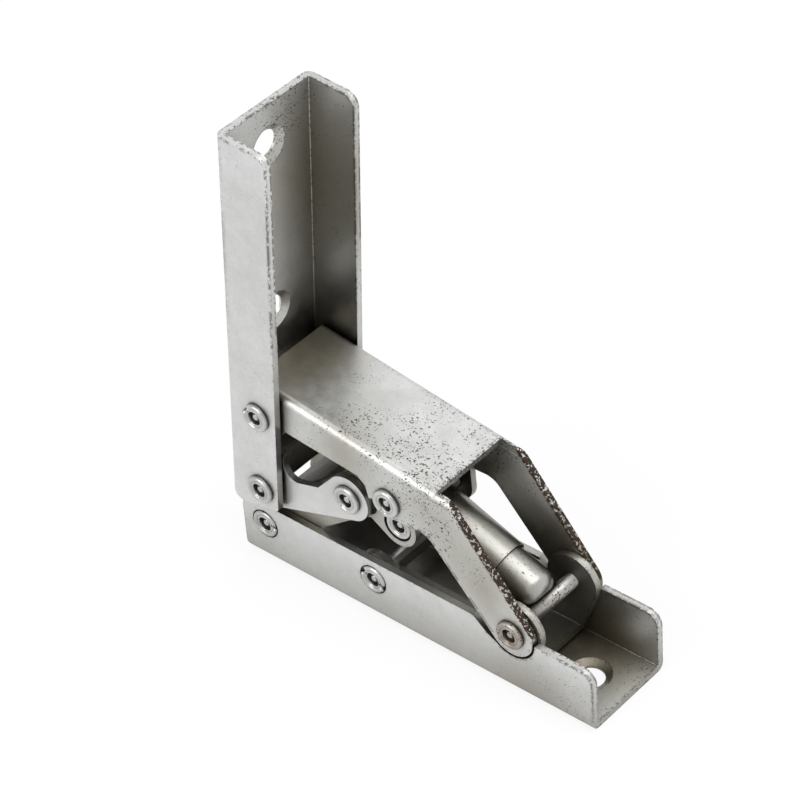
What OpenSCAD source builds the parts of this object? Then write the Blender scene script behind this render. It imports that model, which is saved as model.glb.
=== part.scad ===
// Hydraulic folding hinge: two steel channels, four levers, eight rivets and a damper.
// Millimetres. X runs along the base channel, Y across it, Z up from its outer face.
// The hinge is drawn folded up, as it stands on its base channel.

/* [Sheet metal] */
// Thickness of every stamped plate
sheet = 2; // [1.6:0.1:2.4]
// Inner radius of every bend
bend_in = 0.3; // [0.1:0.1:1]
// Gap between plates that slide past each other
plate_gap = 0.2; // [0.1:0.05:0.4]

/* [Base channel] */
// Length of the base channel
base_len = 119.8; // [112:0.1:140]
// Outer width of the base channel
base_w = 29.5; // [27:0.1:36]
// Height of the base channel's flanges, from its outer face
base_h = 19.3; // [18.5:0.1:20]
// Where the base channel begins, from the wall line
base_start = 1; // [0:0.1:2]
// Corner radius at the heel, under the wall channel
heel_r = 3; // [1:0.1:5]
// Corner radius at the top of both ends
base_tip_r = 4; // [1:0.1:6]
// From the far end to the outer screw hole
base_hole_end = 12.6; // [10:0.1:16]

/* [Wall channel] */
// Length of the wall channel
wall_len = 120.9; // [110:0.1:140]
// Depth of the wall channel's flanges
wall_d = 17; // [16:0.1:22]
// Height of the wall channel's lower end over the base channel
wall_foot = 2.7; // [2.4:0.1:4]
// Lean of the wall channel toward the base channel, in degrees
lean = 4.4; // [3:0.1:6]
// Corner radius at the free end of the flanges
wall_tip_r = 3.7; // [1:0.1:6]
// Corner radius of the flanges at the foot, beside the web
wall_foot_r = 4.5; // [2:0.1:5]
// From the upper end to the outer screw hole
wall_hole_end = 13.1; // [10:0.1:16]

/* [Screw holes] */
// Distance between the two screw holes of a channel
hole_pitch = 54.6; // [40:0.1:60]
// Diameter of a screw hole
hole_d = 8.2; // [5:0.1:9]
// Diameter of its countersink
sink_d = 12; // [9:0.1:13]
// Depth of the countersink
sink_depth = 1.4; // [0.8:0.1:1.5]

/* [Pivots] */
// Cover link on the wall channel: from the web face and from the base top, along the channel
wall_cover = [10.5, 35.7]; // [0:0.1:60]
// Wall link on the wall channel: from the web face and from the base top, along the channel
wall_link_at = [11.1, 10]; // [0:0.1:60]
// Cross link on the base channel, X and Z
base_cross = [8.9, 12.3]; // [0:0.1:120]
// Base link on the base channel, X and Z
base_link_at = [47.5, 12.9]; // [0:0.1:120]
// Wall link on the cross link, X and Z
link_cross = [40.9, 37.8]; // [0:0.1:120]
// Cover link over the cross link, X and Z
cover_cross = [54.9, 43.8]; // [0:0.1:120]
// Damper on the cross link, X and Z
damper_at = [55.8, 34.3]; // [0:0.1:120]
// Cover link on the base link, X and Z
cover_base = [94.6, 19.6]; // [0:0.1:120]

/* [Rivets] */
// Shaft diameter of a rivet
pin_d = 4.4; // [3.6:0.1:4.8]
// Radial clearance between a shaft and its bore
pin_clear = 0.05; // [0.02:0.01:0.08]
// Diameter of a rivet head
head_d = 8.6; // [7:0.1:8.8]
// Height of a rivet head
head_h = 1.4; // [1:0.1:1.5]
// Diameter of the hollow in a rivet head
head_bore_d = 4.4; // [3:0.1:5]
// Diameter of the swaged middle of a rivet
head_mid_d = 2.2; // [1:0.1:2.6]
// Diameter of the recess that takes a sunk head
recess_d = 9.1; // [8.9:0.1:9.6]
// How far the base channel's sunk heads stand out of their recess
head_proud = 0.6; // [0.2:0.1:0.7]
// Thickness of the washers between the wall channel and its links
washer_t = 0.8; // [0.5:0.05:1.2]
// Outer diameter of these washers
washer_d = 9; // [7:0.1:11]
// Side play beside a washer
washer_play = 0.03; // [0.01:0.01:0.1]

/* [Cover link] */
// Tilt of the cover plate below level, in degrees
cover_tilt = 8.2; // [7:0.1:9]
// Height of the cover plate over its wall pivot
cover_rise = 8.8; // [8.3:0.1:10]
// How far the cover plate runs past its wall pivot
cover_back = 4.6; // [3:0.1:5]
// Length of the cover plate from its wall pivot
cover_reach = 57.1; // [50:0.1:60]
// From the wall pivot to the shoulder over the leg
shoulder_at = 60.3; // [58:0.1:64]
// Radius of the shoulder
shoulder_r = 5; // [3:0.1:6]
// Radius of the end round the wall pivot
cover_end_r = 8; // [7:0.1:8.2]
// Radius of the boss at the crossing
boss_r = 5.1; // [4.5:0.1:6]
// Radius of the foot on the base link
foot_r = 7; // [6:0.1:7.8]
// Gap between the foot and the notch in the base channel
foot_gap = 0.7; // [0.3:0.1:1]
// From the wall pivot to the knee, where the leg begins
knee_at = 56; // [54:0.1:58]
// Depth of the knee below the wall pivot's level on the plate
knee_drop = 6.6; // [5:0.1:8]
// Radius inside the knee
knee_r = 6; // [3:0.1:8]

/* [Wall link] */
// Radius of the head on the cross link
link_head_r = 6.9; // [6:0.1:7.4]
// Radius of the tail on the wall channel
link_tail_r = 7.6; // [6:0.1:8]
// Height of the horn over the tail pivot
horn_h = 13.6; // [11:0.1:14]
// Horn plate's inner face, ahead of the tail pivot
horn_at = 6.5; // [5.5:0.1:8]
// How far the horn plate reaches down from the horn's tip
strap_drop = 9.2; // [6:0.1:10]
// Neck, where the head begins, from the pivot on the cross link
neck_from_head = [-10.5, -1.5]; // [-12:0.1:0]
// How far the edge drops from the neck back to the horn
nook_drop = 3.7; // [2:0.1:4.4]
// Radius of the nook between the horn and the neck
nook_r = 4; // [1:0.1:5]

/* [Cross link] */
// Half width of the bar
cross_half = 6.1; // [5:0.1:6.5]
// Radius round the pivots at its broad end
cross_head_r = 6.8; // [6:0.1:7]
// Radius of the lobe that carries the damper
lobe_r = 6.2; // [5:0.1:6.5]
// Where the bar's web begins, from the base pivot
cross_web_from = 8; // [7:0.1:12]
// Where the bar's web ends, from the base pivot
cross_web_to = 30; // [20:0.1:32]
// Room round a rivet in the two slots left open for it
open_clear = 1.2; // [0.9:0.1:1.4]

/* [Base link] */
// Height of the underside over the base channel's outer face
link_lift = 3; // [2.9:0.1:4]
// Radius of the ears round the cover pivot
ear_r = 8.1; // [7:0.1:9]
// Radius round the base pivot
link_hub_r = 7; // [6:0.1:7.5]
// Height of the side plates' top edge
link_top = 18.8; // [17:0.1:20]
// Where the floor begins, behind the base pivot
floor_back = 2.9; // [1:0.1:3.2]
// Where the floor ends, past the cover pivot
floor_past = 2.4; // [0:0.1:4]
// Where the cross strap stands, ahead of the base pivot
strap_at = 4.8; // [4:0.1:8]
// Height of the strap over the side plates
strap_rise = 1.6; // [0:0.1:2]

/* [Damper] */
// Outer diameter of the sleeve
sleeve_d = 15.2; // [13:0.1:16]
// Wall of the sleeve
sleeve_wall = 0.5; // [0.4:0.05:0.8]
// Length of the sleeve
sleeve_len = 24.4; // [22:0.1:26]
// Radial gap between the sleeve and the cup
tube_gap = 0.3; // [0.25:0.05:0.6]
// Wall of the cup
cup_wall = 0.7; // [0.5:0.05:1]
// How far the cup goes into the sleeve
cup_overlap = 14.9; // [12:0.1:17]
// Radius of the cup's nose
nose_r = 4; // [2:0.1:5]
// Gap between the damper's ends and the shafts
seat_gap = 0.3; // [0.2:0.05:0.6]
// Thickness of the cup's end
cup_end = 1.6; // [1:0.1:3]
// Diameter of the piston rod
rod_d = 3.5; // [2.5:0.1:5]
// Length of the piston rod
rod_len = 20; // [17:0.1:22]
// Thickness of the piston and of the rod guide
piston_t = 3; // [2:0.1:4]
// Radial gap round the piston and round the rod
piston_gap = 0.3; // [0.2:0.05:0.5]

/* [Hidden] */
$fn = 64;

// Widths, counted from the middle plane outward
outer_half = base_w / 2;
inner_half = outer_half - sheet - plate_gap;
wall_half = outer_half + washer_t + washer_play + sheet;
bend_r = sheet + bend_in;
base_seat = outer_half - head_h + head_proud;
pin_r = pin_d / 2;
bore_r = pin_r + pin_clear;
base_end = base_start + base_len;
wall_top = wall_foot + wall_len;
big = 400;
// How far a line runs inside a circle that it would only touch, so that they cross
skim = 0.02;

// A point in the wall channel's own measures, as X and Z
function on_wall(p) = [
  p[0] * cos(lean) + p[1] * sin(lean),
  base_h - p[0] * sin(lean) + p[1] * cos(lean)
];
p_wall_cover = on_wall(wall_cover);
p_wall_link = on_wall(wall_link_at);

// A point along the cover plate and square to it, from the wall pivot
function on_cover(u, w) = p_wall_cover + [
  u * cos(cover_tilt) + w * sin(cover_tilt),
  w * cos(cover_tilt) - u * sin(cover_tilt)
];

// A point along the cross link's bar and square to it, from the base pivot
cross_angle = angle_of(link_cross - base_cross);
function angle_of(v) = atan2(v[1], v[0]);
function unit(v) = v / norm(v);
function left_of(v) = [-v[1], v[0]];

// Where the line that touches two circles on one side leaves the first of them
function touch(p, rp, q, rq, side) = let(
    e = unit(q - p),
    c = (rp - rq) / norm(q - p),
    n = c * e + side * sqrt(1 - c * c) * left_of(e)
  ) p + (rp - skim) * n;

// Centre of the arc that rounds the corner k between the directions of a and b
function arc_centre(k, a, b, r) = let(
    half = acos(unit(a - k) * unit(b - k)) / 2
  ) k + unit(unit(a - k) + unit(b - k)) * r / sin(half);

function arc_start(k, a, b, r) = let(
    half = acos(unit(a - k) * unit(b - k)) / 2
  ) k + unit(a - k) * r / tan(half);

// The frame's origin stands under the middle of the folded hinge, on its underside
foot_low = [0, wall_foot - 2.5];
foot_free = [wall_d, wall_foot + 2.3];
heel_v = arc_start(foot_low, [0, wall_top], foot_free, wall_foot_r)[1];
mid_x = (base_end + heel_v * sin(lean)) / 2;

module placed() {
  translate([-mid_x, 0, 0]) children();
}

// The sliver between a corner and its arc: added in a nook, taken off a tip
module corner(k, a, b, r) {
  c = arc_centre(k, a, b, r);
  difference() {
    polygon([k, arc_start(k, a, b, r), c, arc_start(k, b, a, r)]);
    translate(c) circle(r = r + skim / 2);
  }
}

// A flat bar with round ends about two pivots
module bar(p, rp, q, rq) {
  translate(p) circle(r = rp);
  translate(q) circle(r = rq);
  polygon([
    touch(p, rp, q, rq, -1),
    touch(q, rq, p, rp, 1),
    touch(q, rq, p, rp, -1),
    touch(p, rp, q, rq, 1)
  ]);
}

// Turns an outline in X and Z into a prism across the hinge
module across(width) {
  rotate([90, 0, 0]) linear_extrude(height = width, center = true) children();
}

// The same outline as a pair of plates, with their outer faces at half
module plate_pair(half) {
  translate([0, half - sheet / 2, 0]) across(sheet) children();
  translate([0, sheet / 2 - half, 0]) across(sheet) children();
}

// Cross section of a bent channel: web on the X axis, flanges up
module channel_section(half, height) {
  difference() {
    bent_block(half, height, bend_r);
    translate([0, sheet]) bent_block(half - sheet, height, bend_in);
  }
}

module bent_block(half, height, r) {
  translate([-half, r]) square([2 * half, height - r]);
  translate([r - half, 0]) square([2 * (half - r), height]);
  translate([r - half, r]) circle(r = r);
  translate([half - r, r]) circle(r = r);
}

// A channel along X with its web underneath
module channel_x(half, height, from, to) {
  translate([from, 0, 0])
    rotate([90, 0, 90])
      linear_extrude(height = to - from) channel_section(half, height);
}

// Stock of a link along X: a bent channel, its web taken out except between two places
module link_stock(half, top, from, to) {
  room = half - sheet + 0.05;
  difference() {
    translate([0, 0, top])
      mirror([0, 0, 1]) channel_x(half, big / 2, from - big / 2, to + big / 2);
    for (x = [from - big, to])
      translate([x, -room, top - bend_r - 0.2]) cube([big, 2 * room, big]);
  }
}

// A round hole right through, across the hinge
module drill(p, r) {
  translate([p[0], 0, p[1]]) rotate([90, 0, 0]) cylinder(r = r, h = big, center = true);
}

// Recesses for sunk heads in both outer faces
module recesses(p, half, depth) {
  for (side = [-1, 1])
    translate([p[0], side * (half - depth / 2 + 1), p[1]])
      rotate([90, 0, 0]) cylinder(d = recess_d, h = depth + 2, center = true);
}

// A countersunk screw hole through a web, from its outer face up
module screw_hole() {
  translate([0, 0, -1]) cylinder(d = hole_d, h = sheet + 2);
  translate([0, 0, sheet - sink_depth])
    cylinder(d1 = hole_d, d2 = sink_d, h = sink_depth);
  translate([0, 0, sheet]) cylinder(d = sink_d, h = 1);
}

// Half a rivet head as a profile, hollow in the middle, from its seat up
module head_profile() {
  rim = (head_d - head_bore_d) / 4;
  intersection() {
    union() {
      translate([head_d / 2 - rim, head_h - rim]) circle(r = rim);
      translate([head_d / 2 - 2 * rim, 0]) square([2 * rim, head_h - rim]);
      square([head_d / 2 - rim, head_h * 0.25]);
      square([head_mid_d / 2, head_h * 0.6]);
    }
    square([head_d / 2, head_h]);
  }
}

// A rivet across the hinge at p, its heads seated at seat from the middle plane
module rivet(p, seat) {
  translate([p[0], 0, p[1]]) rotate([90, 0, 0]) {
    cylinder(r = pin_r, h = 2 * seat, center = true);
    translate([0, 0, seat]) rotate_extrude() head_profile();
    mirror([0, 0, 1]) translate([0, 0, seat]) rotate_extrude() head_profile();
  }
}

module washers(p) {
  for (side = [-1, 1])
    translate([p[0], side * (wall_half - sheet - washer_t / 2), p[1]])
      rotate([90, 0, 0])
        difference() {
          cylinder(d = washer_d, h = washer_t, center = true);
          cylinder(r = bore_r, h = 2 * washer_t, center = true);
        }
}

// Base channel: the side outline cuts the ends and the notch into a bent channel
base_low = [base_start, 0];
base_high = [base_start, base_h];
base_far = [base_end, base_h];

module base_outline() {
  difference() {
    translate(base_low) square([base_len, base_h]);
    corner(base_low, base_high, [base_end, 0], heel_r);
    corner(base_high, base_low, base_far, base_tip_r);
    corner(base_far, base_high, [base_end, 0], base_tip_r);
    translate(cover_base) circle(r = foot_r + foot_gap);
    polygon([
      cover_base,
      cover_base + [0, -foot_r - foot_gap],
      cover_base + [-3.3, 0.3 - foot_r],
      cover_base + [-8.1, 2.8 - foot_r],
      cover_base + [-5.8 - foot_r, base_h - cover_base[1] + 0.1],
      [cover_base[0], big / 4]
    ]);
  }
}

module base_channel() {
  color("silver") placed()
    difference() {
      intersection() {
        channel_x(outer_half, base_h, base_start, base_end);
        across(big) base_outline();
      }
      drill(base_cross, bore_r);
      drill(base_link_at, bore_r);
      recesses(base_cross, outer_half, head_h - head_proud);
      recesses(base_link_at, outer_half, head_h - head_proud);
      for (x = [base_end - base_hole_end, base_end - base_hole_end - hole_pitch])
        translate([x, 0, 0]) screw_hole();
    }
}

// Wall channel, drawn in its own measures and leaned into place
module wall_outline() {
  difference() {
    polygon([foot_low, foot_free, [wall_d, wall_top], [0, wall_top]]);
    corner(foot_low, foot_free, [0, wall_top], wall_foot_r);
    corner(foot_free, foot_low, [wall_d, wall_top], 1);
    corner([wall_d, wall_top], foot_free, [0, wall_top], wall_tip_r);
  }
}

module wall_channel() {
  color("lightgray") placed()
    difference() {
      translate([0, 0, base_h]) rotate([0, lean, 0])
        difference() {
          intersection() {
            rotate([0, 0, -90])
              linear_extrude(height = wall_top) channel_section(wall_half, wall_d);
            across(big) wall_outline();
          }
          for (v = [wall_top - wall_hole_end, wall_top - wall_hole_end - hole_pitch])
            translate([0, 0, v]) rotate([0, 90, 0]) screw_hole();
        }
      drill(p_wall_cover, bore_r);
      drill(p_wall_link, bore_r);
    }
}

// Cover link: plate on top, one leg each side down to the base link
cover_tip = on_cover(-cover_back, cover_rise);
shoulder = on_cover(shoulder_at, cover_rise - shoulder_r);
knee = on_cover(knee_at, -knee_drop);
knee_left = cover_cross + [6.6, 0.6 - boss_r];
knee_foot = touch(cover_base, foot_r, knee, 0, 1);

module cover_outline() {
  translate(p_wall_cover) circle(r = cover_end_r);
  translate(cover_cross) circle(r = boss_r);
  bar(shoulder, shoulder_r, cover_base, foot_r);
  corner(knee, knee_left, knee_foot, knee_r);
  polygon([
    touch(p_wall_cover, cover_end_r, cover_tip, 0, 1),
    p_wall_cover,
    on_cover(7.5, -2.7),
    cover_cross + [-9.7, 4.2],
    cover_cross + [-7.3, 1.9],
    cover_cross + [-6.4, -1.7],
    cover_cross,
    cover_cross + [0, -boss_r],
    knee_left,
    knee,
    knee_foot,
    cover_base,
    shoulder,
    on_cover(shoulder_at, cover_rise),
    cover_tip
  ]);
}

module cover_link() {
  color("gainsboro") placed()
    difference() {
      intersection() {
        translate([p_wall_cover[0], 0, p_wall_cover[1]]) rotate([0, cover_tilt, 0])
          link_stock(outer_half, cover_rise, -cover_back, cover_reach);
        across(big) cover_outline();
      }
      drill(p_wall_cover, bore_r);
      drill(cover_cross, bore_r);
      drill(cover_base, bore_r);
    }
}

// Wall link: two side plates joined by the horn plate, with a neck before the head
horn = p_wall_link + [horn_at, horn_h];
neck = link_cross + neck_from_head;
nook = [horn[0], neck[1] - nook_drop];

module link_outline() {
  translate(p_wall_link) circle(r = link_tail_r);
  translate(link_cross) circle(r = link_head_r);
  corner(nook, neck, horn, nook_r);
  polygon([
    horn + [-sheet, -0.6],
    horn + [-sheet, -horn_h],
    p_wall_link,
    touch(p_wall_link, link_tail_r, link_cross, link_head_r, -1),
    touch(link_cross, link_head_r, p_wall_link, link_tail_r, 1),
    link_cross,
    touch(link_cross, link_head_r, neck, 0, -1),
    neck,
    nook,
    horn + [0, -1.6],
    horn + [1.2, 0.1]
  ]);
}

module wall_link() {
  color("silver") placed()
    difference() {
      union() {
        plate_pair(outer_half) link_outline();
        across(2 * (outer_half - sheet / 2))
          translate(horn - [0.95 * sheet, strap_drop])
            square([0.9 * sheet, strap_drop - 0.7]);
      }
      drill(p_wall_link, bore_r);
      drill(link_cross, bore_r);
    }
}

// Cross link: a bent bar that opens into two plates with the damper between them
module cross_outline() {
  bar(base_cross, cross_half, link_cross, cross_head_r);
  bar(link_cross, cross_head_r, cover_cross, cross_head_r);
  bar(cover_cross, cross_head_r, damper_at, lobe_r);
  polygon([
    link_cross,
    touch(link_cross, 1, damper_at, lobe_r, -1),
    touch(damper_at, lobe_r, link_cross, 1, 1),
    damper_at,
    cover_cross
  ]);
}

// Room for the two rivets that cross the link at the pivots left open
module open_slots() {
  room = pin_r + open_clear;
  bar(link_cross + [-2.4, -0.6], room, link_cross + [4.7, -0.6], room);
  bar(cover_cross + [-5.4, -0.8], room, cover_cross + [2.8, -0.9], room);
}

module cross_link() {
  color("darkgray") placed()
    difference() {
      intersection() {
        translate([base_cross[0], 0, base_cross[1]]) rotate([0, -cross_angle, 0])
          link_stock(inner_half, cross_half, cross_web_from, cross_web_to);
        across(big) cross_outline();
      }
      drill(base_cross, bore_r);
      drill(damper_at, bore_r);
      recesses(damper_at, inner_half, head_h);
      across(big) open_slots();
    }
}

// Base link: a low channel with ears, and a strap across its mouth
floor_start = [base_link_at[0] - floor_back, link_lift];
floor_end = [cover_base[0] + floor_past, link_lift];

module base_link_outline() {
  translate(base_link_at) circle(r = link_hub_r);
  translate(cover_base) circle(r = ear_r);
  polygon([
    floor_start,
    floor_end,
    touch(cover_base, ear_r, floor_end, 0, 1),
    cover_base,
    [cover_base[0], link_top],
    [base_link_at[0], link_top],
    base_link_at,
    touch(base_link_at, link_hub_r, floor_start, 0, -1)
  ]);
}

module base_link() {
  color("gray") placed()
    difference() {
      union() {
        intersection() {
          union() {
            translate([0, 0, link_lift])
              channel_x(inner_half, big / 4, floor_start[0], floor_end[0]);
            plate_pair(inner_half) {
              translate([floor_start[0] - big / 4, 0]) square([big / 4, big / 4]);
              translate([floor_end[0], 0]) square([big / 4, big / 4]);
            }
          }
          across(big) base_link_outline();
        }
        across(2 * (inner_half - sheet / 2))
          translate([base_link_at[0] + strap_at, link_top - 1.8])
            square([sheet, 1.8 + strap_rise]);
      }
      drill(base_link_at, bore_r);
      drill(cover_base, bore_r);
    }
}

module pin_wall_cover() { color("dimgray") placed() rivet(p_wall_cover, wall_half); }
module pin_wall_link() { color("dimgray") placed() rivet(p_wall_link, wall_half); }
module pin_base_cross() { color("dimgray") placed() rivet(base_cross, base_seat); }
module pin_base_link() { color("dimgray") placed() rivet(base_link_at, base_seat); }
module pin_link_cross() { color("dimgray") placed() rivet(link_cross, outer_half); }
module pin_cover_cross() { color("dimgray") placed() rivet(cover_cross, outer_half); }
module pin_damper() { color("dimgray") placed() rivet(damper_at, inner_half - head_h); }
module pin_cover_base() { color("dimgray") placed() rivet(cover_base, outer_half); }
module washers_cover() { color("silver") placed() washers(p_wall_cover); }
module washers_link() { color("silver") placed() washers(p_wall_link); }

// Damper, drawn along its own axis from the damper pivot toward the cover pivot
damper_len = norm(cover_base - damper_at);
damper_angle = angle_of(cover_base - damper_at);
sleeve_from = pin_r + seat_gap;
sleeve_to = sleeve_from + sleeve_len;
sleeve_r = sleeve_d / 2;
cup_r = sleeve_r - sleeve_wall - tube_gap;
cup_in = cup_r - cup_wall;
cup_from = sleeve_to - cup_overlap;
cup_to = damper_len - pin_r - seat_gap + 1.2;
rod_r = rod_d / 2;

module along_damper() {
  translate([damper_at[0], 0, damper_at[1]]) rotate([0, 90 - damper_angle, 0]) children();
}

module sleeve_profile() {
  difference() {
    translate([0, sleeve_from]) square([sleeve_r, sleeve_len]);
    translate([-1, sleeve_from + sleeve_wall])
      square([sleeve_r - sleeve_wall + 1, sleeve_len]);
    corner(
      [sleeve_r, sleeve_from], [0, sleeve_from], [sleeve_r, sleeve_to], sleeve_wall * 0.8
    );
  }
}

module damper_sleeve() {
  color("lightsteelblue") placed() along_damper() rotate_extrude() sleeve_profile();
}

module cup_profile() {
  tip = [cup_r, cup_to];
  difference() {
    translate([0, cup_from]) square([cup_r, cup_to - cup_from]);
    corner(tip, [0, cup_to], [cup_r, 0], nose_r);
    difference() {
      translate([-1, cup_from - 1])
        square([cup_in + 1, cup_to - cup_from - pin_r - cup_end]);
      corner(
        [cup_in, cup_to - 1 - pin_r - cup_end],
        [0, cup_to - 1 - pin_r - cup_end],
        [cup_in, 0],
        nose_r - cup_wall
      );
    }
  }
}

module damper_cup() {
  color("slategray") placed()
    difference() {
      along_damper() rotate_extrude() cup_profile();
      drill(cover_base, pin_r + seat_gap);
    }
}

module piston_rod() {
  color("gainsboro") placed()
    along_damper()
      translate([0, 0, sleeve_from + sleeve_wall]) cylinder(r = rod_r, h = rod_len);
}

module piston() {
  color("black") placed()
    along_damper()
      translate([0, 0, sleeve_from + sleeve_wall + rod_len - piston_t])
        difference() {
          cylinder(r = cup_in - piston_gap, h = piston_t);
          translate([0, 0, -1]) cylinder(r = rod_r, h = piston_t + 2);
        }
}

module rod_guide() {
  color("black") placed()
    along_damper()
      translate([0, 0, cup_from])
        difference() {
          cylinder(r = cup_in, h = piston_t);
          translate([0, 0, -1]) cylinder(r = rod_r + piston_gap, h = piston_t + 2);
        }
}

wall_channel();
base_channel();
cover_link();
cross_link();
wall_link();
base_link();
pin_wall_cover();
pin_wall_link();
pin_base_cross();
pin_base_link();
pin_link_cross();
pin_cover_cross();
pin_damper();
pin_cover_base();
washers_cover();
washers_link();
damper_sleeve();
damper_cup();
piston_rod();
piston();
rod_guide();
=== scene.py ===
"""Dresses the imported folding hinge: worn steel plates, swaged rivets, damper, studio."""

import math

import bpy
import numpy as np
from mathutils import Matrix, Vector


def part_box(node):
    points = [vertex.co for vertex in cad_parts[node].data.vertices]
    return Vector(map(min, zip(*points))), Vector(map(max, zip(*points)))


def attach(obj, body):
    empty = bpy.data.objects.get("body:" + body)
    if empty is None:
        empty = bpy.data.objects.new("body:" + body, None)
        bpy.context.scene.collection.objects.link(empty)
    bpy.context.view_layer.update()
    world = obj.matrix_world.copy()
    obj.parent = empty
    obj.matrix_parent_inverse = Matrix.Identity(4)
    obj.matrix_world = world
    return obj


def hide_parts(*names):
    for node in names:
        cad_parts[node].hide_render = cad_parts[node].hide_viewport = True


bl_info = {
    "name": "Folding hinge",
    "version": (1, 0, 0),
    "blender": (4, 5, 0),
    "location": "View3D > Sidebar > Hinge",
    "description": "Finishes the plates, rivets and damper of a folding hinge",
    "category": "Add Mesh",
}

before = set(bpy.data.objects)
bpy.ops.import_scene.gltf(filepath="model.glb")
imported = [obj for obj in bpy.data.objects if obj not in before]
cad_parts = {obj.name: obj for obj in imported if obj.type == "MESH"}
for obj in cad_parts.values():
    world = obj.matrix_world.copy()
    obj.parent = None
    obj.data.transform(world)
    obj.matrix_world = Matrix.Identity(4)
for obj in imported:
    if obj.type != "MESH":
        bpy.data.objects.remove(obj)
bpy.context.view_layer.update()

RIVETS = tuple(sorted(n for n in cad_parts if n.startswith("pin_")))
WASHERS = ("washers_cover", "washers_link")
RIVET_BODIES = {
    "base": ("pin_base_cross", "pin_base_link"),
    "cover": ("pin_cover_cross", "pin_cover_base"),
    "wall": ("pin_wall_cover", "pin_wall_link"),
    "upper_link": ("pin_link_cross",),
    "cross": ("pin_damper",),
}
TUBES = ("damper_sleeve", "damper_cup")
SEALS = ("piston", "rod_guide")

# Lengths are in metres
TUBE_EDGE = 0.00012
WELD_GAP = 1e-6
EDGE_ANGLE = math.radians(40)

# Scales of the wear's noises, in waves per metre, from broad patches to fine grain
PATCH_SCALE = 34.0
RUST_FIELD_SCALE = 75.0
PIT_FIELD_SCALE = 90.0
CLOUD_SCALE = 260.0
BLOTCH_SCALE = 1000.0
GRAIN_SCALE = 1500.0
PIT_SCALE = 2250.0
PIT_STIR_SCALE = 2600.0
SEAL_GRAIN_SCALE = 2500.0

# Reach of the rust from a cut edge, and of the shade in the nooks
RUST_REACH = 0.0012
NOOK_REACH = 0.02
# Cosine between bevelled and true normal, off a cut edge and on it
EDGE_COSINES = (0.9995, 0.985)
# Share of open sky at the bottom of a nook and on an open face
NOOK_OPENNESS = (0.25, 0.92)
# Part of a noise's range that carries most of its values
NOISE_RANGE = (0.3, 0.7)
# Noise values between which rust sets in: at cut edges, and on a crusted face
RUST_STEP = (0.54, 0.565)
CRUST_STEP = (0.62, 0.65)
# How far the noise bends the pits' cells, how rare big pits are, and how soft their rims
PIT_STIR = 0.0005
PIT_RARITY = 4.0
PIT_RIM = 0.08
BUMP_DEPTH = 0.00008
SEAL_BUMP_DEPTH = 0.00004

# Painted shade: a deeper colour for the nooks of the two inner links, and those links
DEEP_PAINTED_SHADE = (0.05, 0.042, 0.03)
DEEP_SHADE_PLATES = ("cross_link", "base_link")
# Front of the cover's legs, rusty all over: its normal, its offset and the rust's depth
COVER_FRONT = ((0.7807, 0.0, 0.6249), 0.04577, 0.0013)


class PlateLook(bpy.types.PropertyGroup):
    """Colours and wear of the stamped plates."""

    steel: bpy.props.FloatVectorProperty(
        name="Steel",
        description="Colour of the bare plates",
        subtype="COLOR",
        default=(0.66, 0.668, 0.66),
        min=0,
        max=1,
    )
    # The tarnish colour is also what the painted shade in given places darkens toward
    tarnish: bpy.props.FloatVectorProperty(
        name="Tarnish",
        description="Colour of the dulled patches",
        subtype="COLOR",
        default=(0.33, 0.308, 0.25),
        min=0,
        max=1,
    )
    rust: bpy.props.FloatVectorProperty(
        name="Rust",
        description="Colour of the rust on the cut edges",
        subtype="COLOR",
        default=(0.07, 0.051, 0.038),
        min=0,
        max=1,
    )
    roughness: bpy.props.FloatProperty(
        name="Roughness",
        description="How matt the rolled face is",
        default=0.36,
        min=0,
        max=1,
        subtype="FACTOR",
    )
    edge: bpy.props.FloatProperty(
        name="Edge radius",
        description="Radius left on the cut edges by tumbling",
        default=0.00018,
        min=0,
        max=0.0005,
        unit="LENGTH",
    )


class RivetLook(bpy.types.PropertyGroup):
    """Finish of the rivets and washers."""

    steel: bpy.props.FloatVectorProperty(
        name="Steel",
        description="Colour of the rivet heads",
        subtype="COLOR",
        default=(0.58, 0.58, 0.57),
        min=0,
        max=1,
    )
    roughness: bpy.props.FloatProperty(
        name="Roughness",
        description="How matt the heads are",
        default=0.25,
        min=0,
        max=1,
        subtype="FACTOR",
    )


class DamperLook(bpy.types.PropertyGroup):
    """Finish of the damper's tubes."""

    steel: bpy.props.FloatVectorProperty(
        name="Tube steel",
        description="Colour of the drawn tubes",
        subtype="COLOR",
        default=(0.50, 0.50, 0.48),
        min=0,
        max=1,
    )
    roughness: bpy.props.FloatProperty(
        name="Roughness",
        description="How matt the tubes are",
        default=0.3,
        min=0,
        max=1,
        subtype="FACTOR",
    )


class StudioLook(bpy.types.PropertyGroup):
    """Lamps, floor and camera."""

    key_power: bpy.props.FloatProperty(
        name="Key lamp",
        description="Power of the lamp on the near side",
        default=4.5,
        min=0,
        unit="POWER",
    )
    top_power: bpy.props.FloatProperty(
        name="Top lamp",
        description="Power of the lamp overhead",
        default=4.0,
        min=0,
        unit="POWER",
    )
    lens: bpy.props.FloatProperty(
        name="Lens",
        description="Focal length of the photograph's camera",
        default=148.88,
        min=1,
        unit="CAMERA",
    )


def link(tree, a, b):
    """Joins output socket a to input socket b."""
    tree.links.new(a, b)


def node(tree, kind, **values):
    """Adds a node and sets its attributes, and its inputs by socket name."""
    n = tree.nodes.new(kind)
    for k, v in values.items():
        if k == "inputs":
            for name, value in v.items():
                n.inputs[name].default_value = value
        else:
            setattr(n, k, v)
    return n


def ramp(tree, low, high, a=0.0, b=1.0, smooth=True):
    """A Map Range node from low..high to a..b."""
    return node(
        tree,
        "ShaderNodeMapRange",
        interpolation_type="SMOOTHSTEP" if smooth else "LINEAR",
        inputs={"From Min": low, "From Max": high, "To Min": a, "To Max": b},
    )


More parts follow.
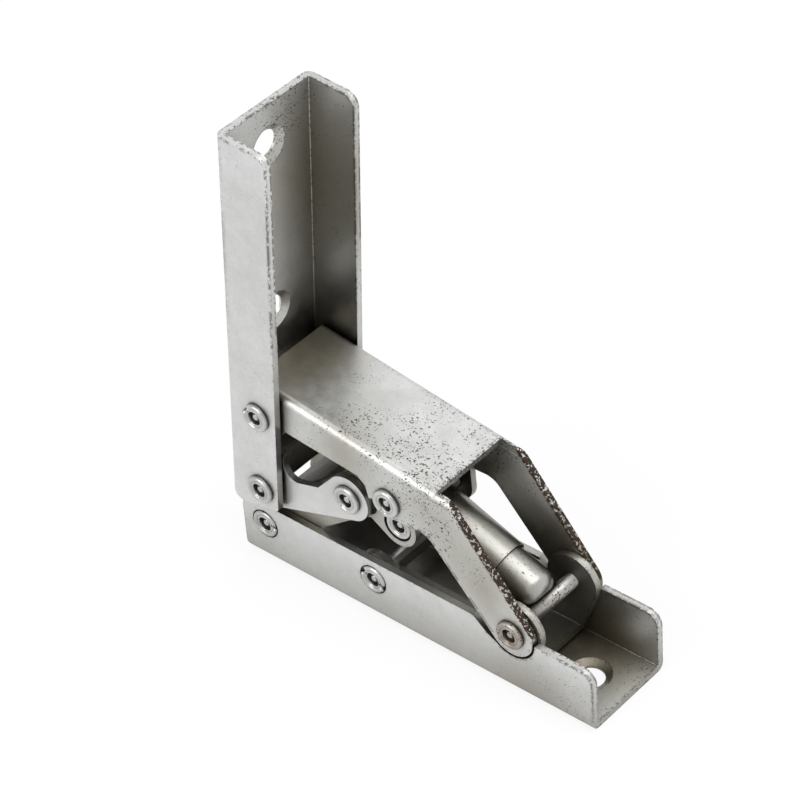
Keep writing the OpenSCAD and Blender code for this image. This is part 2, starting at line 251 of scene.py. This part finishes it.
def math_node(tree, operation, a=None, b=None, clamp=False):
    """A Math node with numbers or sockets for its two inputs."""
    n = node(tree, "ShaderNodeMath", operation=operation, use_clamp=clamp)
    for socket, value in zip(n.inputs, (a, b)):
        if value is None:
            continue
        if isinstance(value, (int, float)):
            socket.default_value = value
        else:
            link(tree, value, socket)
    return n


def mix_colour(tree, factor, a, b):
    """A colour Mix node with sockets or colours for its inputs."""
    n = node(tree, "ShaderNodeMix", data_type="RGBA")
    for name, value in ((0, factor), (6, a), (7, b)):
        if isinstance(value, bpy.types.NodeSocket):
            link(tree, value, n.inputs[name])
        elif name == 0:
            n.inputs[0].default_value = value
        else:
            n.inputs[name].default_value = (*value, 1.0)
    return n.outputs[2]


def group(name, inputs, outputs):
    """A new shader node group with the named float and colour sockets."""
    g = bpy.data.node_groups.new(name, "ShaderNodeTree")
    for label, kind, default in inputs:
        s = g.interface.new_socket(label, in_out="INPUT", socket_type=kind)
        s.default_value = default
    for label, kind in outputs:
        g.interface.new_socket(label, in_out="OUTPUT", socket_type=kind)
    return g, g.nodes.new("NodeGroupInput"), g.nodes.new("NodeGroupOutput")


FLOAT, COLOUR = "NodeSocketFloat", "NodeSocketColor"


def edge_group():
    """How near a cut edge a point lies: the bevelled normal against the true one."""
    g, i, o = group("cut_edges", [("Radius", FLOAT, RUST_REACH)], [("Edge", FLOAT)])
    bevel = node(g, "ShaderNodeBevel", samples=4)
    link(g, i.outputs["Radius"], bevel.inputs["Radius"])
    geometry = node(g, "ShaderNodeNewGeometry")
    dot = node(g, "ShaderNodeVectorMath", operation="DOT_PRODUCT")
    link(g, bevel.outputs["Normal"], dot.inputs[0])
    link(g, geometry.outputs["Normal"], dot.inputs[1])
    fall = ramp(g, *EDGE_COSINES)
    link(g, dot.outputs["Value"], fall.inputs["Value"])
    link(g, fall.outputs["Result"], o.inputs["Edge"])
    return g


def pits_group():
    """Small dark pits: cells whose reach is set by a broad noise and by a field of places."""
    g, i, o = group(
        "pits",
        [("Scale", FLOAT, PIT_SCALE), ("Amount", FLOAT, 0.3), ("Cluster", FLOAT, PIT_FIELD_SCALE)],
        [("Pits", FLOAT)],
    )
    where = node(g, "ShaderNodeTexCoord")
    stir = node(g, "ShaderNodeTexNoise", inputs={"Scale": PIT_STIR_SCALE, "Detail": 2.0})
    link(g, where.outputs["Object"], stir.inputs["Vector"])
    push = node(g, "ShaderNodeVectorMath", operation="SCALE", inputs={"Scale": PIT_STIR})
    link(g, stir.outputs["Color"], push.inputs[0])
    moved = node(g, "ShaderNodeVectorMath", operation="ADD")
    link(g, where.outputs["Object"], moved.inputs[0])
    link(g, push.outputs["Vector"], moved.inputs[1])
    cells = node(g, "ShaderNodeTexVoronoi", feature="F1", inputs={"Randomness": 1.0})
    link(g, moved.outputs["Vector"], cells.inputs["Vector"])
    link(g, i.outputs["Scale"], cells.inputs["Scale"])
    broad = node(g, "ShaderNodeTexNoise", inputs={"Detail": 3.0, "Roughness": 0.6})
    link(g, where.outputs["Object"], broad.inputs["Vector"])
    link(g, i.outputs["Cluster"], broad.inputs["Scale"])
    spread = ramp(g, 0.3, 0.62, 0.25, 1.0)
    link(g, broad.outputs["Fac"], spread.inputs["Value"])
    random = node(g, "ShaderNodeSeparateColor")
    link(g, cells.outputs["Color"], random.inputs[0])
    rare = math_node(g, "POWER", random.outputs[0], PIT_RARITY)
    size = math_node(g, "MULTIPLY", spread.outputs["Result"], i.outputs["Amount"])
    size = math_node(g, "MULTIPLY", size.outputs[0], rare.outputs[0])
    inside = math_node(g, "SUBTRACT", size.outputs[0], cells.outputs["Distance"])
    sharp = ramp(g, 0.0, PIT_RIM)
    link(g, inside.outputs[0], sharp.inputs["Value"])
    link(g, sharp.outputs["Result"], o.inputs["Pits"])
    return g


def nooks_group():
    """How closed in a point is, from open faces to the bottom of the channels: the mask of the
    painted shade in the nooks, which also keeps rust off closed-in edges.
    """
    g, i, o = group("nooks", [("Reach", FLOAT, NOOK_REACH)], [("Nook", FLOAT)])
    shut = node(g, "ShaderNodeAmbientOcclusion", samples=2)
    link(g, i.outputs["Reach"], shut.inputs["Distance"])
    fall = ramp(g, *NOOK_OPENNESS, 1.0, 0.0)
    link(g, shut.outputs["AO"], fall.inputs["Value"])
    link(g, fall.outputs["Result"], o.inputs["Nook"])
    return g


def wear_group(edges, pits, nooks):
    """Worn plate: mottled satin, dull patches, pits, and rust that bites at cut edges, with
    painted shade darkening the nooks and given places.
    """
    g, i, o = group(
        "worn_plate_and_shade",
        [
            ("Steel", COLOUR, (0.6, 0.6, 0.58, 1)),
            ("Tarnish", COLOUR, (0.35, 0.34, 0.3, 1)),
            ("Rust", COLOUR, (0.13, 0.08, 0.05, 1)),
            ("Tarnish amount", FLOAT, 0.5),
            # Cloudy darkening toward the tarnish colour: partly a dull coat, partly painted shade
            ("Film amount", FLOAT, 0.0),
            ("Pit amount", FLOAT, 0.3),
            ("Rust amount", FLOAT, 0.5),
            ("Rust reach", FLOAT, RUST_REACH),
            ("Crust", FLOAT, 0.0),
            # Painted shade: the colour that closed-in faces are darkened toward, and how far
            ("Grime", COLOUR, (0.125, 0.105, 0.072, 1)),
            ("Grime amount", FLOAT, 0.9),
            ("Roughness", FLOAT, 0.35),
        ],
        [("Colour", COLOUR), ("Roughness", FLOAT), ("Height", FLOAT)],
    )
    where = node(g, "ShaderNodeTexCoord")

    def noise(scale, detail, roughness=0.55):
        n = node(
            g,
            "ShaderNodeTexNoise",
            inputs={"Scale": scale, "Detail": detail, "Roughness": roughness},
        )
        link(g, where.outputs["Object"], n.inputs["Vector"])
        return n.outputs["Fac"]

    def between(value, low, high, a=0.0, b=1.0, smooth=True):
        n = ramp(g, low, high, a, b, smooth)
        link(g, value, n.inputs["Value"])
        return n.outputs["Result"]

    def times(a, b):
        return math_node(g, "MULTIPLY", a, b).outputs[0]

    def plus(a, b, clamp=False):
        return math_node(g, "ADD", a, b, clamp=clamp).outputs[0]

    cloud = noise(CLOUD_SCALE, 5.0, 0.65)
    patch = times(between(noise(PATCH_SCALE, 4.0), 0.4, 0.68), i.outputs["Tarnish amount"])
    # Cloudy darkening toward the tarnish colour: partly a dull coat, and painted shade where
    # places raise its amount; a negative amount paints a highlight
    film_and_shade = times(between(cloud, *NOISE_RANGE, 0.8, 1.1, False), i.outputs["Film amount"])
    patch = plus(patch, film_and_shade, clamp=True)
    fine = noise(GRAIN_SCALE, 3.0, 0.7)
    blotch = noise(BLOTCH_SCALE, 3.0, 0.7)
    pit = node(g, "ShaderNodeGroup", node_tree=pits)
    link(g, i.outputs["Pit amount"], pit.inputs["Amount"])
    edge = node(g, "ShaderNodeGroup", node_tree=edges)
    link(g, i.outputs["Rust reach"], edge.inputs["Radius"])
    wide = between(noise(RUST_FIELD_SCALE, 2.0), 0.4, 0.6, 0.1, 1.0)
    bite = plus(blotch, times(times(wide, i.outputs["Rust amount"]), 0.05))

    nook = node(g, "ShaderNodeGroup", node_tree=nooks)
    open_edge = times(edge.outputs["Edge"], between(nook.outputs["Nook"], 0.35, 0.65, 1.0, 0.0))
    any_rust = math_node(g, "MULTIPLY", i.outputs["Rust amount"], 0.8, clamp=True).outputs[0]
    rust = times(times(open_edge, between(bite, *RUST_STEP)), any_rust)
    flake = plus(blotch, times(i.outputs["Crust"], 0.2))
    crust = times(between(flake, *CRUST_STEP), i.outputs["Crust"])
    rust = math_node(g, "MAXIMUM", rust, crust).outputs[0]
    # Painted shade: the nook mask darkens closed-in faces toward the shade colour
    painted_shade_mask = times(nook.outputs["Nook"], i.outputs["Grime amount"])
    base = mix_colour(g, patch, i.outputs["Steel"], i.outputs["Tarnish"])
    base = mix_colour(g, painted_shade_mask, base, i.outputs["Grime"])
    tone = times(
        between(cloud, *NOISE_RANGE, 0.93, 1.06, False),
        between(fine, *NOISE_RANGE, 0.95, 1.04, False),
    )
    shade = node(g, "ShaderNodeVectorMath", operation="SCALE")
    link(g, base, shade.inputs[0])
    link(g, tone, shade.inputs["Scale"])
    dots = times(pit.outputs["Pits"], 0.9)
    pitted = mix_colour(g, dots, shade.outputs["Vector"], i.outputs["Rust"])
    rusty = mix_colour(g, rust, pitted, i.outputs["Rust"])
    link(g, rusty, o.inputs["Colour"])

    total = plus(i.outputs["Roughness"], between(cloud, *NOISE_RANGE, -0.04, 0.05, False))
    total = plus(total, times(patch, 0.08))
    total = plus(total, times(plus(rust, pit.outputs["Pits"]), 0.35), clamp=True)
    link(g, total, o.inputs["Roughness"])

    height = plus(times(fine, 0.22), times(cloud, 0.3))
    height = plus(height, times(pit.outputs["Pits"], -1.0))
    height = plus(height, times(times(rust, blotch), 1.4))
    link(g, height, o.inputs["Height"])
    return g


def gather(tree, start, places):
    """Start plus, for each (centre, reach, amount), amount * (1 - distance / reach)."""
    total = start
    for centre, reach, amount in places:
        where = node(tree, "ShaderNodeTexCoord")
        gap = node(tree, "ShaderNodeVectorMath", operation="DISTANCE")
        link(tree, where.outputs["Object"], gap.inputs[0])
        gap.inputs[1].default_value = centre
        near = ramp(tree, 0.0, reach, amount, 0.0)
        link(tree, gap.outputs["Value"], near.inputs["Value"])
        total = math_node(tree, "ADD", near.outputs["Result"], total).outputs[0]
    return total


def steel_material(name, look, pitted=(), rusted=(), filmed=(), crusted=None, **amounts):
    """A metal whose colour, roughness and bump come from the group of wear and painted shade.

    pitted and rusted hold the places (centre, reach, amount) where pits and rust gather.
    The third list of places paints shade, darkening toward the tarnish colour, and a negative
    amount there paints a highlight. crusted is the plane (normal, offset, depth) of a cut face
    that is rusty all over: full at the face, gone at that depth.
    """
    m = bpy.data.materials.new(name)
    m.use_nodes = True
    t = m.node_tree
    shader = t.nodes["Principled BSDF"]
    shader.inputs["Metallic"].default_value = 1.0
    g = node(t, "ShaderNodeGroup", node_tree=wear())
    for label, value in look.items():
        g.inputs[label].default_value = (*value, 1.0)
    for label, value in amounts.items():
        g.inputs[label.replace("_", " ").capitalize()].default_value = value
    gathered = (("Pit amount", pitted), ("Rust amount", rusted), ("Film amount", filmed))
    for label, places in gathered:
        if places:
            start = g.inputs[label].default_value
            link(t, gather(t, start, places), g.inputs[label])
    if crusted:
        normal, offset, depth = crusted
        where = node(t, "ShaderNodeTexCoord")
        along = node(t, "ShaderNodeVectorMath", operation="DOT_PRODUCT")
        link(t, where.outputs["Object"], along.inputs[0])
        along.inputs[1].default_value = normal
        near = ramp(t, offset - depth, offset - 0.3 * depth)
        link(t, along.outputs["Value"], near.inputs["Value"])
        link(t, near.outputs["Result"], g.inputs["Crust"])
    bump = node(t, "ShaderNodeBump", inputs={"Strength": 0.4, "Distance": BUMP_DEPTH})
    link(t, g.outputs["Height"], bump.inputs["Height"])
    link(t, g.outputs["Colour"], shader.inputs["Base Color"])
    link(t, g.outputs["Roughness"], shader.inputs["Roughness"])
    link(t, bump.outputs["Normal"], shader.inputs["Normal"])
    return m


def wear():
    """The shared group of wear and painted shade, built once."""
    known = bpy.data.node_groups.get("worn_plate_and_shade")
    return known or wear_group(edge_group(), pits_group(), nooks_group())


def dress(names, material, edge=0.0):
    """Gives CAD nodes one material, and soft cut edges where edge is a radius."""
    for name in names:
        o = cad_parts[name]
        o.data.materials.clear()
        o.data.materials.append(material)
        if edge:
            weld = o.modifiers.new("merge", "WELD")
            weld.merge_threshold = WELD_GAP
            bevel = o.modifiers.new("cut edges", "BEVEL")
            bevel.width = edge
            bevel.segments = 2
            bevel.limit_method = "ANGLE"
            bevel.angle_limit = EDGE_ANGLE
            even = o.modifiers.new("even faces", "WEIGHTED_NORMAL")
            even.weight = 100
            even.keep_sharp = False


class HINGE_OT_plates(bpy.types.Operator):
    """Finishes the six stamped plates in worn steel"""

    bl_idname = "hinge.plates"
    bl_label = "Plates"

    def execute(self, context):
        look = context.scene.hinge_plates
        colours = {"Steel": look.steel, "Tarnish": look.tarnish, "Rust": look.rust}
        table = {
            "wall_channel": dict(
                tarnish_amount=0.1,
                pit_amount=0.3,
                rust_amount=0.25,
                pitted=[((-0.058, 0.008, 0.138), 0.028, 0.8), ((-0.037, 0.018, 0.09), 0.03, 0.4)],
                rusted=[((-0.032, 0.0, 0.112), 0.055, 3.5)],
                # Painted shade over the channel's inside
                filmed=[
                    ((-0.042, 0.023, 0.110), 0.048, 0.8),
                    # A negative amount: a painted highlight, a bright spot on the inside of the
                    # far flange
                    ((-0.030, 0.017, 0.098), 0.008, -0.7),
                ],
            ),
            "base_channel": dict(
                tarnish_amount=0.15,
                pit_amount=0.3,
                rust_amount=0.45,
                rusted=[((0.056, 0.0, 0.010), 0.045, 3.0)],
                pitted=[((0.055, 0.0, 0.004), 0.03, 0.5)],
                # Painted shade on the floor, under the base link
                filmed=[((0.040, 0.004, 0.000), 0.030, 1.3)],
            ),
            "cover_link": dict(
                tarnish_amount=0.25,
                pit_amount=0.3,
                rust_amount=0.35,
                pitted=[
                    ((0.012, -0.004, 0.058), 0.044, 0.85),
                    ((-0.02, -0.006, 0.062), 0.034, 0.5),
                ],
                rust_reach=0.0018,
                crusted=COVER_FRONT,
                rusted=[((0.024, 0.0, 0.036), 0.036, 5.0)],
                # Painted shade: on the top's left end in place of the wall channel's dark
                # reflection, inside the far leg, on the near leg, and on the near side below the
                # bend
                filmed=[
                    ((-0.048, 0.0, 0.064), 0.026, 1.2),
                    ((0.036, 0.016, 0.016), 0.036, 1.3),
                    ((0.025, -0.0147, 0.034), 0.022, 0.7),
                    ((-0.020, -0.022, 0.050), 0.022, 0.75),
                    ((0.008, -0.022, 0.046), 0.020, 0.75),
                ],
            ),
            "cross_link": dict(
                tarnish_amount=0.5, film_amount=0.6, pit_amount=0.2, rust_amount=0.4
            ),
            "wall_link": dict(tarnish_amount=0.25, pit_amount=0.15, rust_amount=0.1),
            "base_link": dict(
                tarnish_amount=0.4, film_amount=0.6, pit_amount=0.3, rust_amount=1.0
            ),
        }
        for name, amounts in table.items():
            # The two inner links get a deeper painted shade in their nooks
            own = dict(colours, Grime=DEEP_PAINTED_SHADE) if name in DEEP_SHADE_PLATES else colours
            material = steel_material(name + "_steel", own, roughness=look.roughness, **amounts)
            dress([name], material, look.edge if name.endswith("_link") else 0.0)
        return {"FINISHED"}


# Half profile of a rivet: distance from its axis and height over its seat, as shares of
# the head's radius and height, from the swaged middle out to the rim and under it
HEAD = (
    (0.00, 0.42),
    (0.12, 0.45),
    (0.20, 0.40),
    (0.25, 0.18),
    (0.31, -0.25),
    (0.38, -0.30),
    (0.43, 0.05),
    (0.47, 0.62),
    (0.53, 0.86),
    (0.60, 0.80),
    (0.65, 0.74),
    (0.71, 0.86),
    (0.79, 0.98),
    (0.87, 0.97),
    (0.94, 0.84),
    (0.985, 0.62),
    (1.00, 0.36),
    (0.985, 0.12),
    (0.93, 0.00),
    (0.75, 0.00),
)

# Nicks in the rims: node, side, angle from +X toward +Z in degrees, half width, depth
NICKS = (
    ("pin_wall_cover", -1, 148, 17, 1.0),
    ("pin_base_cross", -1, 8, 9, 0.8),
    ("pin_base_link", -1, 152, 15, 1.0),
    ("pin_base_link", -1, -16, 12, 1.0),
    ("pin_cover_cross", -1, -112, 9, 0.9),
    ("pin_link_cross", -1, -132, 10, 0.7),
    ("pin_link_cross", 1, 75, 9, 0.5),
)
SHAFT_R = 0.0022
HEAD_H = 0.0014
# How far the shaft's end stands inside the head's seat
SHAFT_OVERLAP = 0.0001
# Depth of the waves in the rim's radius and height, as shares of the head's
RIM_WAVE = 0.012
TOP_WAVE = 0.045
# Where the waves begin and how far they take to grow, as shares of the head's radius
RIM_FROM, RIM_SPAN = 0.3, 0.5
# Radius and width of the raised ring, and its waves' turn in steps round the head
RING_AT, RING_WIDTH, RING_TURN = 0.42, 0.16, 17
# Where a nick begins to cut down and to cut inward, and how deep it goes inward
NICK_FROM, NICK_SPAN = 0.5, 0.12
NOTCH_FROM, NOTCH_SPAN, NOTCH_DEPTH = 0.8, 0.2, 0.25


def smooth_profile(points, count):
    """Carries a Catmull-Rom curve through the points and returns count even steps of it."""
    p = np.asarray(points, float)
    p = np.vstack([2 * p[0] - p[1], p, 2 * p[-1] - p[-2]])
    t = np.linspace(0, len(points) - 1 - 1e-9, count)
    k = t.astype(int)
    f = (t - k)[:, None]
    a, b, c, d = p[k], p[k + 1], p[k + 2], p[k + 3]
    square = 2 * a - 5 * b + 4 * c - d
    cube = 3 * b - a - 3 * c + d
    return 0.5 * (2 * b + (c - a) * f + square * f**2 + cube * f**3)


def rivet_surface(name, box, steps=72, turns=96):
    """A rivet turned about Y: radius and height run along the half profile at each angle.

    r(t, v) = R * (p(t) + wave(v)), y(t, v) = side * (seat + H * (q(t) + wave(v) - nick(v))),
    where (p, q) is the smoothed half profile, and both heads meet along the shaft.
    """
    low, high = (np.array(c) for c in box)
    centre = (low + high) / 2
    big, seat = (high[0] - low[0]) / 2, high[1] - HEAD_H
    rng = np.random.default_rng(sum(map(ord, name)))
    v = np.linspace(0, 2 * np.pi, turns, endpoint=False)
    rows = []
    for side in (-1, 1):
        p, q = smooth_profile(HEAD, steps).T
        phase = rng.uniform(0, 2 * np.pi, 4)
        size = rng.uniform(0.3, 1.0, 4)
        wave = sum(a * np.sin((n + 1) * v + f) for n, (a, f) in enumerate(zip(size, phase)))
        rim = np.clip((p - RIM_FROM) / RIM_SPAN, 0, 1) ** 2
        ring = np.exp(-(((p - RING_AT) / RING_WIDTH) ** 2))
        radius = p[:, None] * (1 - RIM_WAVE * (1 + wave / 4) * rim[:, None])
        radius = radius + RIM_WAVE * ring[:, None] * np.roll(wave, RING_TURN) / 2
        height = q[:, None] * (1 - TOP_WAVE * (1 + wave / 3) * rim[:, None])
        for owner, where, angle, half, depth in NICKS:
            if owner != name or where != side:
                continue
            turn = np.degrees(np.angle(np.exp(1j * (v - np.radians(angle)))))
            across = depth * np.exp(-((turn / half) ** 6))
            cut = across * np.clip((p - NICK_FROM) / NICK_SPAN, 0, 1)[:, None]
            height = height - cut * np.clip(height, 0, None)
            notch = np.clip((p - NOTCH_FROM) / NOTCH_SPAN, 0, 1)[:, None]
            radius = radius - NOTCH_DEPTH * cut * notch
        x = centre[0] + big * radius * np.cos(v)
        z = centre[2] + big * radius * np.sin(v)
        y = np.broadcast_to(side * (seat + HEAD_H * height), x.shape)
        head = np.stack([x, y, z], -1)
        end = np.stack(
            [
                centre[0] + SHAFT_R * np.cos(v),
                np.full(turns, side * (seat - SHAFT_OVERLAP)),
                centre[2] + SHAFT_R * np.sin(v),
            ],
            -1,
        )
        part = np.concatenate([head, end[None]])
        rows.append(part if side < 0 else part[::-1])
    return np.concatenate(rows)


def grid_mesh(name, points):
    """Joins a grid of rings into a closed skin, each ring turned once round."""
    rows, turns = points.shape[:2]
    at = np.arange(rows * turns).reshape(rows, turns)
    side = np.roll(at, -1, 1)
    quads = np.stack([at[:-1], side[:-1], side[1:], at[1:]], -1).reshape(-1, 4)
    data = bpy.data.meshes.new(name)
    data.from_pydata(points.reshape(-1, 3), [], quads.tolist())
    data.polygons.foreach_set("use_smooth", np.ones(len(quads), bool))
    data.update()
    o = bpy.data.objects.new(name, data)
    bpy.context.scene.collection.objects.link(o)
    return o


class HINGE_OT_rivets(bpy.types.Operator):
    """Swages the eight rivets, each with its own waves and nicks, and finishes the washers"""

    bl_idname = "hinge.rivets"
    bl_label = "Rivets and washers"

    def execute(self, context):
        look = context.scene.hinge_rivets
        colours = {
            "Steel": look.steel,
            "Tarnish": (0.3, 0.29, 0.27),
            "Rust": (0.1, 0.07, 0.05),
            # Near-black painted shade, so the nicks and the heads' hollows look dark
            "Grime": (0.03, 0.027, 0.024),
        }
        material = steel_material(
            "rivet_steel",
            colours,
            roughness=look.roughness,
            tarnish_amount=0.35,
            pit_amount=0.35,
            rust_amount=0.0,
        )
        stained = steel_material(
            "stained_rivet_steel",
            dict(colours, Tarnish=(0.26, 0.21, 0.15)),
            roughness=look.roughness + 0.08,
            tarnish_amount=0.9,
            film_amount=0.25,
            pit_amount=0.9,
            rust_amount=0.0,
        )
        dress(RIVETS + WASHERS, material)
        homes = {n: body for body, nodes in RIVET_BODIES.items() for n in nodes}
        for name in RIVETS:
            piece = grid_mesh("rivet_" + name[4:], rivet_surface(name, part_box(name)))
            piece.data.materials.append(stained if name == "pin_cover_base" else material)
            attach(piece, homes[name])
            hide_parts(name)
        return {"FINISHED"}


class HINGE_OT_damper(bpy.types.Operator):
    """Finishes the damper's tubes, rod and seals"""

    bl_idname = "hinge.damper"
    bl_label = "Damper"

    def execute(self, context):
        look = context.scene.hinge_damper
        colours = {"Steel": look.steel, "Tarnish": (0.3, 0.3, 0.27), "Rust": (0.1, 0.08, 0.06)}
        tubes = steel_material(
            "tube_steel",
            colours,
            roughness=look.roughness,
            tarnish_amount=0.6,
            pit_amount=0.5,
            rust_amount=0.2,
        )
        dress(TUBES, tubes, TUBE_EDGE)
        rod = steel_material(
            "rod_steel",
            colours,
            roughness=0.18,
            tarnish_amount=0.2,
            pit_amount=0.0,
            rust_amount=0.0,
        )
        dress(["piston_rod"], rod)
        dress(SEALS, seal_material())
        return {"FINISHED"}


def seal_material():
    """Black moulded plastic with a fine mould texture."""
    m = bpy.data.materials.new("seal_plastic")
    m.use_nodes = True
    t = m.node_tree
    shader = t.nodes["Principled BSDF"]
    where = node(t, "ShaderNodeTexCoord")
    grain = node(t, "ShaderNodeTexNoise", inputs={"Scale": SEAL_GRAIN_SCALE, "Detail": 2.0})
    link(t, where.outputs["Object"], grain.inputs["Vector"])
    link(
        t,
        mix_colour(t, grain.outputs["Fac"], (0.02, 0.02, 0.02), (0.05, 0.05, 0.05)),
        shader.inputs["Base Color"],
    )
    bump = node(t, "ShaderNodeBump", inputs={"Strength": 0.3, "Distance": SEAL_BUMP_DEPTH})
    link(t, grain.outputs["Fac"], bump.inputs["Height"])
    link(t, bump.outputs["Normal"], shader.inputs["Normal"])
    shader.inputs["Roughness"].default_value = 0.55
    return m


def lamp(name, place, aim, size, power):
    """A square area lamp at place, turned to aim."""
    data = bpy.data.lights.new(name, "AREA")
    data.shape = "SQUARE"
    data.size = size
    data.energy = power
    o = bpy.data.objects.new(name, data)
    o.location = place
    o.rotation_mode = "QUATERNION"
    o.rotation_quaternion = (Vector(aim) - Vector(place)).to_track_quat("-Z", "Y")
    bpy.context.scene.collection.objects.link(o)


def seen(tree):
    """Is Camera, Is Glossy or Is Transmission Ray: where the white surround shows."""
    path = node(tree, "ShaderNodeLightPath")
    near = math_node(tree, "MAXIMUM", path.outputs["Is Camera Ray"], path.outputs["Is Glossy Ray"])
    return math_node(
        tree, "MAXIMUM", near.outputs[0], path.outputs["Is Transmission Ray"]
    ).outputs[0]


# Places, aim and sizes of the two lamps
KEY_PLACE, KEY_SIZE = (-0.25, -0.9, 0.55), 0.7
TOP_PLACE, TOP_SIZE = (0.25, 0.1, 1.0), 0.8
LAMP_AIM = (0.0, 0.0, 0.05)
# The floor's half width, its gap under the hinge, and its share of plain white in view
FLOOR_REACH = 3.0
FLOOR_GAP = 0.00005
FLOOR_WHITE = 0.85

# The photograph's camera: its right, up and back directions, and its place in metres
CAMERA_AXES = (
    (0.76216104, 0.64448401, -0.0612447),
    (-0.37445202, 0.51603275, 0.77038685),
    (0.52810628, -0.56422564, 0.63462839),
)
CAMERA_PLACE = (0.437194, -0.480019, 0.605070)
# The sensor's width in millimetres, and the nearest and farthest distance shown
SENSOR_WIDTH = 36.0
CLIP_RANGE = (0.05, 10.0)


class HINGE_OT_stage(bpy.types.Operator):
    """Makes the floor, the soft light and the photograph's camera"""

    bl_idname = "hinge.stage"
    bl_label = "Stage"

    def execute(self, context):
        look = context.scene.hinge_studio
        scene = context.scene
        scene.view_settings.view_transform = "Standard"
        lamp("key", KEY_PLACE, LAMP_AIM, KEY_SIZE, look.key_power)
        lamp("top", TOP_PLACE, LAMP_AIM, TOP_SIZE, look.top_power)

        world = scene.world or bpy.data.worlds.new("studio")
        scene.world = world
        world.use_nodes = True
        t = world.node_tree
        t.nodes.clear()
        out = node(t, "ShaderNodeOutputWorld")
        fill = node(t, "ShaderNodeBackground", inputs={"Color": (0.8, 0.8, 0.8, 1)})
        shown = node(t, "ShaderNodeBackground", inputs={"Color": (1, 1, 1, 1)})
        mix = node(t, "ShaderNodeMixShader")
        link(t, seen(t), mix.inputs[0])
        link(t, fill.outputs[0], mix.inputs[1])
        link(t, shown.outputs[0], mix.inputs[2])
        link(t, mix.outputs[0], out.inputs["Surface"])

        data = bpy.data.meshes.new("floor")
        r = FLOOR_REACH
        data.from_pydata([(-r, -r, 0), (r, -r, 0), (r, r, 0), (-r, r, 0)], [], [(0, 1, 2, 3)])
        floor = bpy.data.objects.new("floor", data)
        floor.location = (0, 0, -FLOOR_GAP)
        scene.collection.objects.link(floor)
        m = bpy.data.materials.new("floor")
        m.use_nodes = True
        t = m.node_tree
        shader = t.nodes["Principled BSDF"]
        shader.inputs["Base Color"].default_value = (0.9, 0.9, 0.9, 1)
        shader.inputs["Roughness"].default_value = 0.9
        white = node(t, "ShaderNodeEmission", inputs={"Color": (1, 1, 1, 1), "Strength": 1.0})
        mix = node(t, "ShaderNodeMixShader")
        link(t, math_node(t, "MULTIPLY", seen(t), FLOOR_WHITE).outputs[0], mix.inputs[0])
        link(t, shader.outputs[0], mix.inputs[1])
        link(t, white.outputs[0], mix.inputs[2])
        link(t, mix.outputs[0], t.nodes["Material Output"].inputs["Surface"])
        floor.data.materials.append(m)

        camera = bpy.data.cameras.new("camera")
        camera.lens = look.lens
        camera.sensor_width = SENSOR_WIDTH
        camera.clip_start, camera.clip_end = CLIP_RANGE
        o = bpy.data.objects.new("camera", camera)
        right, up, back = CAMERA_AXES
        turn = Matrix((right, up, back)).transposed()
        o.matrix_world = Matrix.Translation(CAMERA_PLACE) @ turn.to_4x4()
        scene.collection.objects.link(o)
        scene.camera = o
        return {"FINISHED"}


class HINGE_PT_panel(bpy.types.Panel):
    """Lists the hinge's pieces and their settings"""

    bl_label = "Folding hinge"
    bl_space_type = "VIEW_3D"
    bl_region_type = "UI"
    bl_category = "Hinge"

    def draw(self, context):
        for operator, settings in STEPS:
            box = self.layout.box()
            box.operator(operator.bl_idname)
            for name in getattr(context.scene, settings).__annotations__:
                box.prop(getattr(context.scene, settings), name)


STEPS = (
    (HINGE_OT_plates, "hinge_plates"),
    (HINGE_OT_rivets, "hinge_rivets"),
    (HINGE_OT_damper, "hinge_damper"),
    (HINGE_OT_stage, "hinge_studio"),
)
SETTINGS = {
    "hinge_plates": PlateLook,
    "hinge_rivets": RivetLook,
    "hinge_damper": DamperLook,
    "hinge_studio": StudioLook,
}


def register():
    for cls in SETTINGS.values():
        bpy.utils.register_class(cls)
    for name, cls in SETTINGS.items():
        setattr(bpy.types.Scene, name, bpy.props.PointerProperty(type=cls))
    for operator, _ in STEPS:
        bpy.utils.register_class(operator)
    bpy.utils.register_class(HINGE_PT_panel)


def unregister():
    bpy.utils.unregister_class(HINGE_PT_panel)
    for operator, _ in reversed(STEPS):
        bpy.utils.unregister_class(operator)
    for name, cls in SETTINGS.items():
        delattr(bpy.types.Scene, name)
        bpy.utils.unregister_class(cls)


def main():
    register()
    for operator, _ in STEPS:
        section, call = operator.bl_idname.split(".")
        getattr(getattr(bpy.ops, section), call)()


if __name__ == "__main__":
    main()
